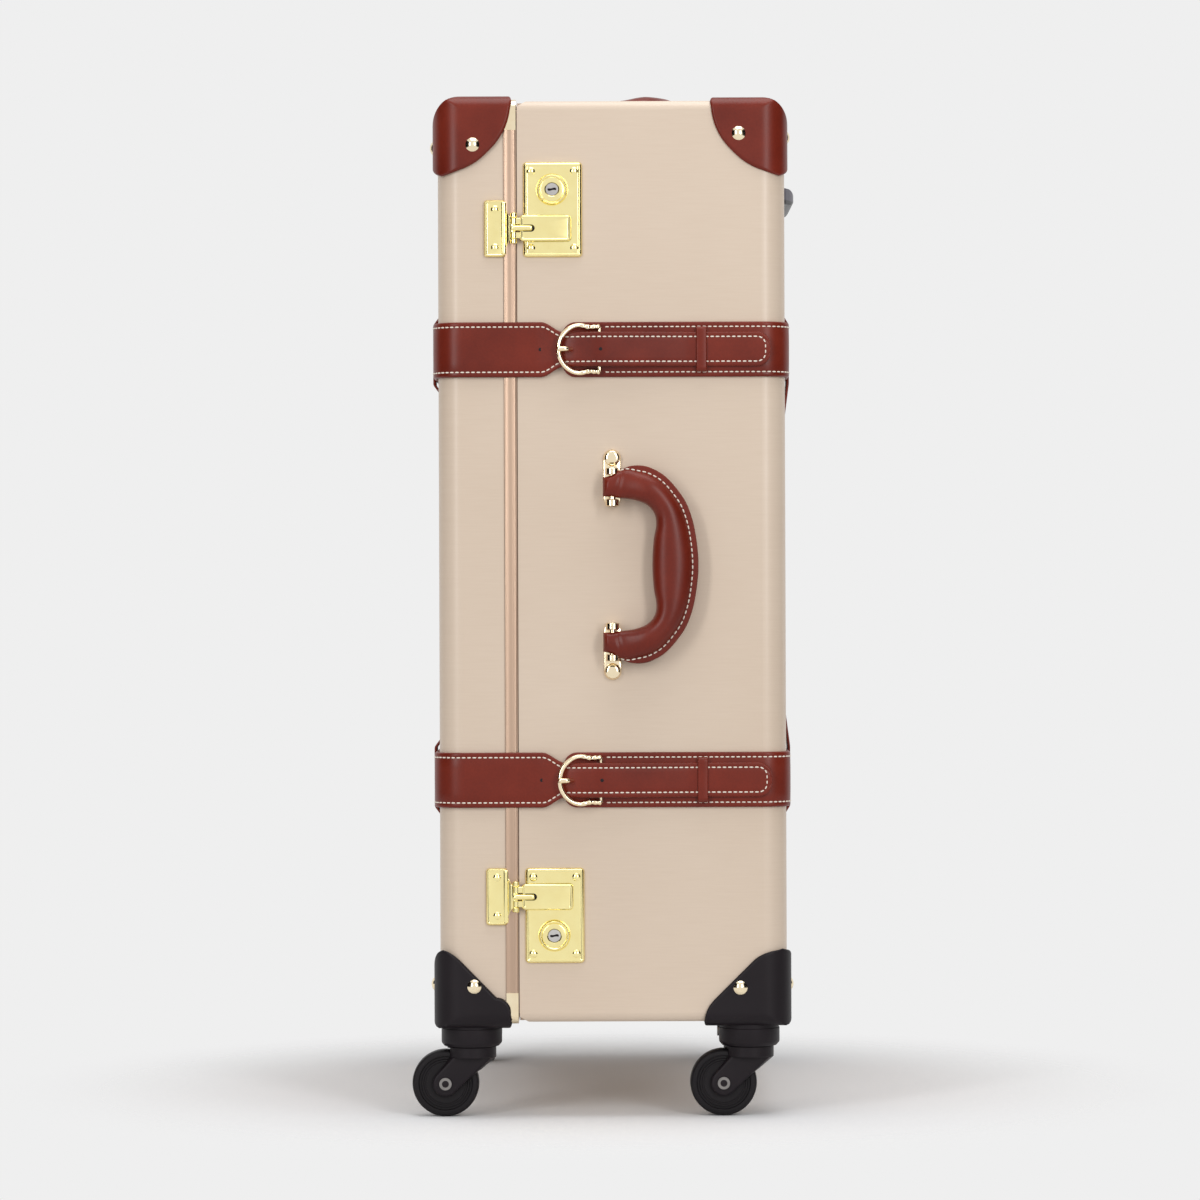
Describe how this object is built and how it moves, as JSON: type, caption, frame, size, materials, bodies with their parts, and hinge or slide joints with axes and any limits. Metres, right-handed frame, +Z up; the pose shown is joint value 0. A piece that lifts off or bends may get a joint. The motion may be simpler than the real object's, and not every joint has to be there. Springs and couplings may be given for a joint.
{
  "type": "spinner suitcase",
  "caption": "Upright trunk-style suitcase with a hinged lid, buckled leather straps, gold locks, carry handles, a telescopic trolley grip and swivelling casters.",
  "frame": {"origin": "centre of the whole part's footprint, on the floor it stands on", "axes": "+Z up, +X from the lid to the back, +Y from the lock side to the hinge side"},
  "size_m": [0.2951, 0.515, 0.7809],
  "materials": {
    "case_covering": "tan coated board, fine grain, satin",
    "rim_metal": "rose gold anodised",
    "pale_metal": "pale gold plated",
    "lining_cloth": "woven lining cloth",
    "leather": "red-brown smooth leather with cream stitching",
    "gold_plate": "polished gold plate",
    "steel": "bright",
    "tube_aluminium": "satin anodised",
    "black_plastic": "moulded, satin",
    "grip_plastic": "dark grey, satin",
    "wheel_rubber": "black polyurethane, satin"
  },
  "bodies": {
    "base": {"base_shell": "case_covering", "base_rim": "rim_metal", "base_lining": "lining_cloth", "back_panel": "lining_cloth", "trolley_bay": "black_plastic", "trolley_foot": "black_plastic", "trolley_outer_tubes": "tube_aluminium", "base_leather_corners": "leather", "base_wheel_corners": "black_plastic", "base_rivets": "pale_metal", "base_hinge_leaves": "gold_plate", "hinge_pins": "gold_plate", "lock_plates": "gold_plate", "lock_screws": "gold_plate", "base_straps": "leather", "tail_keepers": "leather", "base_strap_loops": "leather", "side_feet": "black_plastic", "handle_brackets": "pale_metal", "handle_pins": "pale_metal"},
    "lid": {"lid_shell": "case_covering", "lid_rim": "rim_metal", "lid_rim_clips": "pale_metal", "lid_lining": "lining_cloth", "lid_leather_corners": "leather", "lid_wheel_corners": "black_plastic", "lid_rivets": "pale_metal", "lid_hinge_leaves": "gold_plate", "catch_plates": "gold_plate", "catch_screws": "gold_plate", "hasp_pins": "gold_plate", "lid_straps": "leather", "lid_strap_loops": "leather"},
    "trolley_mid": {"trolley_mid_tubes": "tube_aluminium"},
    "trolley_inner": {"trolley_inner_tubes": "tube_aluminium", "trolley_grip": "grip_plastic"},
    "trolley_button": {"trolley_button": "grip_plastic", "release_rods": "steel"},
    "side_handle": {"side_handle": "leather"},
    "top_handle": {"top_handle": "leather"},
    "upper_hasp": {"upper_hasp": "gold_plate"},
    "lower_hasp": {"lower_hasp": "gold_plate"},
    "upper_key_plug": {"upper_key_plug": "steel"},
    "lower_key_plug": {"lower_key_plug": "steel"},
    "upper_buckle": {"upper_buckle": "pale_metal"},
    "lower_buckle": {"lower_buckle": "pale_metal"},
    "upper_strap_tail": {"upper_strap_tail": "leather"},
    "lower_strap_tail": {"lower_strap_tail": "leather"},
    "front_lock_caster": {"front_lock_fork": "black_plastic", "front_lock_axle": "steel"},
    "front_lock_wheel": {"front_lock_wheel": "wheel_rubber"},
    "front_hinge_caster": {"front_hinge_fork": "black_plastic", "front_hinge_axle": "steel"},
    "front_hinge_wheel": {"front_hinge_wheel": "wheel_rubber"},
    "back_lock_caster": {"back_lock_fork": "black_plastic", "back_lock_axle": "steel"},
    "back_lock_wheel": {"back_lock_wheel": "wheel_rubber"},
    "back_hinge_caster": {"back_hinge_fork": "black_plastic", "back_hinge_axle": "steel"},
    "back_hinge_wheel": {"back_hinge_wheel": "wheel_rubber"}
  },
  "joints": [
    {"name": "lid_hinge", "type": "hinge", "parent": "base", "child": "lid", "pos_m": [-0.06705, 0.25038, 0.4124], "axis": [0, 0, -1], "range_deg": [0, 110]},
    {"name": "side_handle_swing", "type": "hinge", "parent": "base", "child": "side_handle", "pos_m": [0.00345, -0.24702, 0.4124], "axis": [0, 0, -1], "range_deg": [0, 170]},
    {"name": "top_handle_swing", "type": "hinge", "parent": "base", "child": "top_handle", "pos_m": [0.00345, 0.00537, 0.7704], "axis": [0, -1, 0], "range_deg": [0, 170]},
    {"name": "upper_hasp_swing", "type": "hinge", "parent": "lid", "child": "upper_hasp", "pos_m": [-0.06905, -0.23927, 0.6626], "axis": [0, 0, -1], "range_deg": [0, 150]},
    {"name": "upper_key_turn", "type": "hinge", "parent": "base", "child": "upper_key_plug", "pos_m": [-0.04055, -0.23463, 0.6914], "axis": [0, 1, 0], "range_deg": [0, 90]},
    {"name": "lower_hasp_swing", "type": "hinge", "parent": "lid", "child": "lower_hasp", "pos_m": [-0.06905, -0.23927, 0.1657], "axis": [0, 0, -1], "range_deg": [0, 150]},
    {"name": "lower_key_turn", "type": "hinge", "parent": "base", "child": "lower_key_plug", "pos_m": [-0.04055, -0.23463, 0.1369], "axis": [0, 1, 0], "range_deg": [0, 90]},
    {"name": "upper_buckle_swing", "type": "hinge", "parent": "base", "child": "upper_buckle", "pos_m": [-0.00555, -0.24017, 0.5724], "axis": [0, 0, 1], "range_deg": [0, 100]},
    {"name": "upper_strap_fold", "type": "hinge", "parent": "lid", "child": "upper_strap_tail", "pos_m": [-0.06805, -0.23692, 0.5724], "axis": [0, 0, -1], "range_deg": [0, 150], "deforming": ["upper_strap_tail"]},
    {"name": "lower_buckle_swing", "type": "hinge", "parent": "base", "child": "lower_buckle", "pos_m": [-0.00555, -0.24017, 0.2524], "axis": [0, 0, 1], "range_deg": [0, 100]},
    {"name": "lower_strap_fold", "type": "hinge", "parent": "lid", "child": "lower_strap_tail", "pos_m": [-0.06805, -0.23692, 0.2524], "axis": [0, 0, -1], "range_deg": [0, 150], "deforming": ["lower_strap_tail"]},
    {"name": "trolley_first_draw", "type": "slide", "parent": "base", "child": "trolley_mid", "axis": [0, 0, 1], "range_m": [0, 0.165]},
    {"name": "trolley_second_draw", "type": "slide", "parent": "trolley_mid", "child": "trolley_inner", "axis": [0, 0, 1], "range_m": [0, 0.165]},
    {"name": "trolley_button_press", "type": "slide", "parent": "trolley_inner", "child": "trolley_button", "axis": [0, 0, -1], "range_m": [0, 0.0025], "stiffness_N_per_m": 800},
    {"name": "front_lock_swivel", "type": "hinge", "parent": "lid", "child": "front_lock_caster", "pos_m": [-0.10305, -0.20863, 0], "axis": [0, 0, 1], "continuous": true},
    {"name": "front_lock_roll", "type": "hinge", "parent": "front_lock_caster", "child": "front_lock_wheel", "pos_m": [-0.12255, -0.20863, 0.025], "axis": [0, 1, 0], "continuous": true},
    {"name": "front_hinge_swivel", "type": "hinge", "parent": "lid", "child": "front_hinge_caster", "pos_m": [-0.10305, 0.21937, 0], "axis": [0, 0, 1], "continuous": true},
    {"name": "front_hinge_roll", "type": "hinge", "parent": "front_hinge_caster", "child": "front_hinge_wheel", "pos_m": [-0.10305, 0.19987, 0.025], "axis": [1, 0, 0], "continuous": true},
    {"name": "back_lock_swivel", "type": "hinge", "parent": "base", "child": "back_lock_caster", "pos_m": [0.10495, -0.20863, 0], "axis": [0, 0, 1], "continuous": true},
    {"name": "back_lock_roll", "type": "hinge", "parent": "back_lock_caster", "child": "back_lock_wheel", "pos_m": [0.08545, -0.20863, 0.025], "axis": [0, 1, 0], "continuous": true},
    {"name": "back_hinge_swivel", "type": "hinge", "parent": "base", "child": "back_hinge_caster", "pos_m": [0.10495, 0.21937, 0], "axis": [0, 0, 1], "continuous": true},
    {"name": "back_hinge_roll", "type": "hinge", "parent": "back_hinge_caster", "child": "back_hinge_wheel", "pos_m": [0.10495, 0.19987, 0.025], "axis": [1, 0, 0], "continuous": true}
  ]
}
